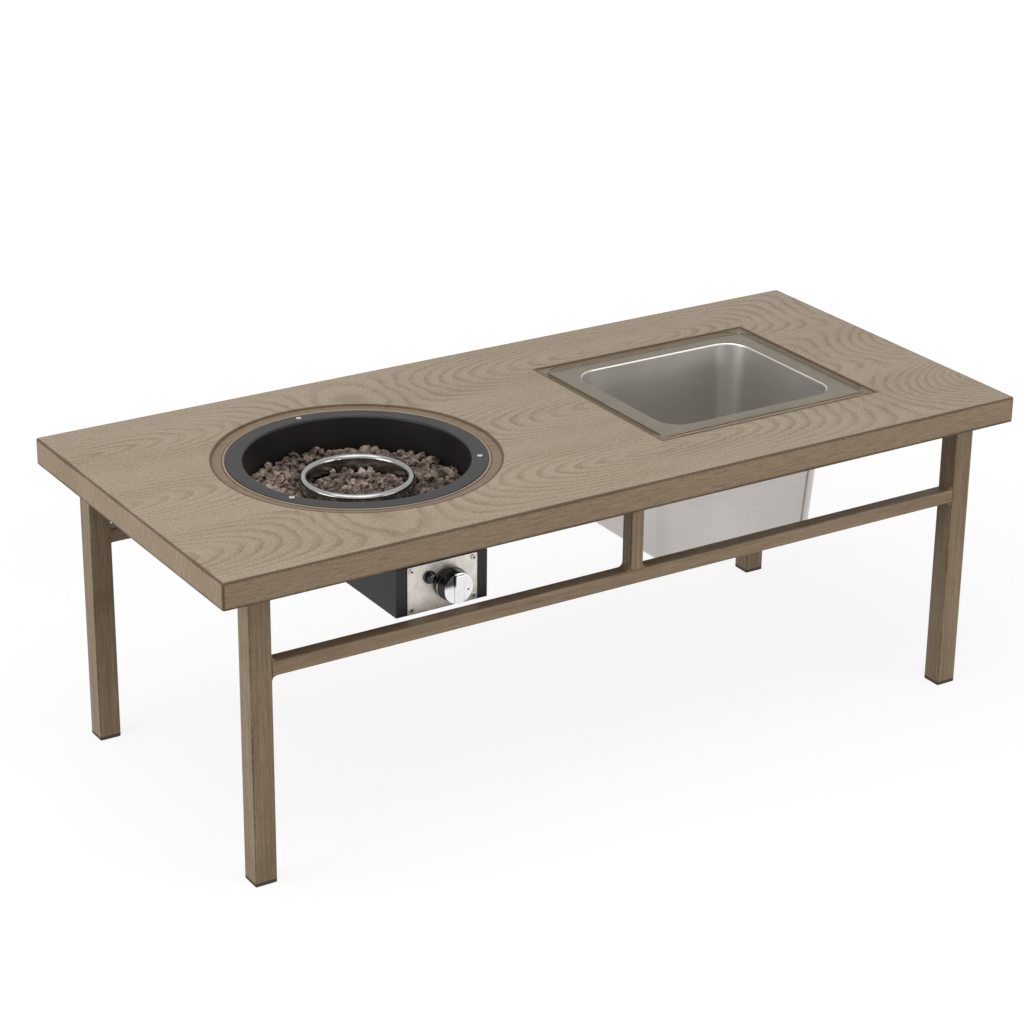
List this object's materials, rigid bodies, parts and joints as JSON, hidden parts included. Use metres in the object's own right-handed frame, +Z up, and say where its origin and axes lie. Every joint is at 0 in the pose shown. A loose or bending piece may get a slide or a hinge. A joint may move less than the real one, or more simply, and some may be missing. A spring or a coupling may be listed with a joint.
{
  "type": "gas fire pit table",
  "caption": "Low wood-look metal table on square-tube side frames, with a round gas fire bowl and a lift-out steel drinks pan sunk in the top.",
  "frame": {"origin": "on the floor, under the middle of the tabletop", "axes": "+Z up; +X along the table, from the fire bowl to the drinks pan; -Y is the front, where the control panel is"},
  "size_m": [1.32, 0.588, 0.472],
  "materials": {
    "wood_top": "matt wood-grain coating",
    "wood_frame": "matt wood-grain coating",
    "foot": "matt",
    "bowl_black": "matt heat-proof coating",
    "polished_steel": "polished",
    "brushed_steel": "brushed",
    "screw_steel": "plated",
    "lava": "rough",
    "ceramic": "unglazed",
    "lead_red": "matt",
    "copper": "drawn",
    "box_black": "satin",
    "brass": "turned",
    "cast_alloy": "die-cast",
    "pipe_alloy": "drawn",
    "knob_black": "satin",
    "cap_chrome": "polished",
    "igniter_black": "satin",
    "battery": "gloss"
  },
  "bodies": {
    "table": {"tabletop": "wood_top", "bowl_seat": "wood_top", "leg_front_left": "wood_frame", "leg_front_right": "wood_frame", "leg_rear_left": "wood_frame", "leg_rear_right": "wood_frame", "foot_front_left": "foot", "foot_front_right": "foot", "foot_rear_left": "foot", "foot_rear_right": "foot", "front_rail": "wood_frame", "rear_rail": "wood_frame", "front_post": "wood_frame", "rear_post": "wood_frame", "front_top_bar": "wood_frame", "rear_top_bar": "wood_frame", "left_cross_bar": "wood_frame", "middle_cross_bar": "wood_frame", "right_cross_bar": "wood_frame", "corner_plates": "wood_frame", "corner_screws": "screw_steel", "fire_bowl": "bowl_black", "flange_screws": "screw_steel", "flange_nuts": "screw_steel", "burner_collar": "polished_steel", "burner_head": "brushed_steel", "mixer_tube": "brushed_steel", "gas_jet": "brass", "lava_bed": "lava", "lava_burner": "lava", "electrode": "ceramic", "ignition_lead": "lead_red", "thermocouple": "copper", "thermocouple_lead": "copper", "control_box": "box_black", "control_panel": "brushed_steel", "panel_screws": "screw_steel", "gas_valve": "cast_alloy", "gas_pipe": "pipe_alloy", "inlet_pipe": "pipe_alloy", "gas_inlet": "brass", "inlet_nut": "brass", "igniter_housing": "igniter_black", "igniter_collar": "igniter_black", "igniter_battery": "battery", "igniter_end_cap": "igniter_black"},
    "valve_plunger": {"valve_plunger": "brass"},
    "valve_knob": {"valve_stem": "brass", "knob": "knob_black", "knob_cap": "cap_chrome"},
    "igniter_button": {"igniter_button": "igniter_black"},
    "drinks_pan": {"drinks_pan": "brushed_steel"}
  },
  "joints": [
    {"name": "knob_push", "type": "slide", "parent": "table", "child": "valve_plunger", "axis": [0, 1, 0], "range_m": [0, 0.005], "stiffness_N_per_m": 1600},
    {"name": "knob_turn", "type": "hinge", "parent": "valve_plunger", "child": "valve_knob", "pos_m": [-0.29, -0.233, 0.367], "axis": [0, -1, 0], "range_deg": [0, 180]},
    {"name": "igniter_push", "type": "slide", "parent": "table", "child": "igniter_button", "axis": [0, 1, 0], "range_m": [0, 0.005], "stiffness_N_per_m": 1200},
    {"name": "pan_lift", "type": "slide", "parent": "table", "child": "drinks_pan", "axis": [0, 0, 1], "range_m": [0, 0.26]}
  ]
}
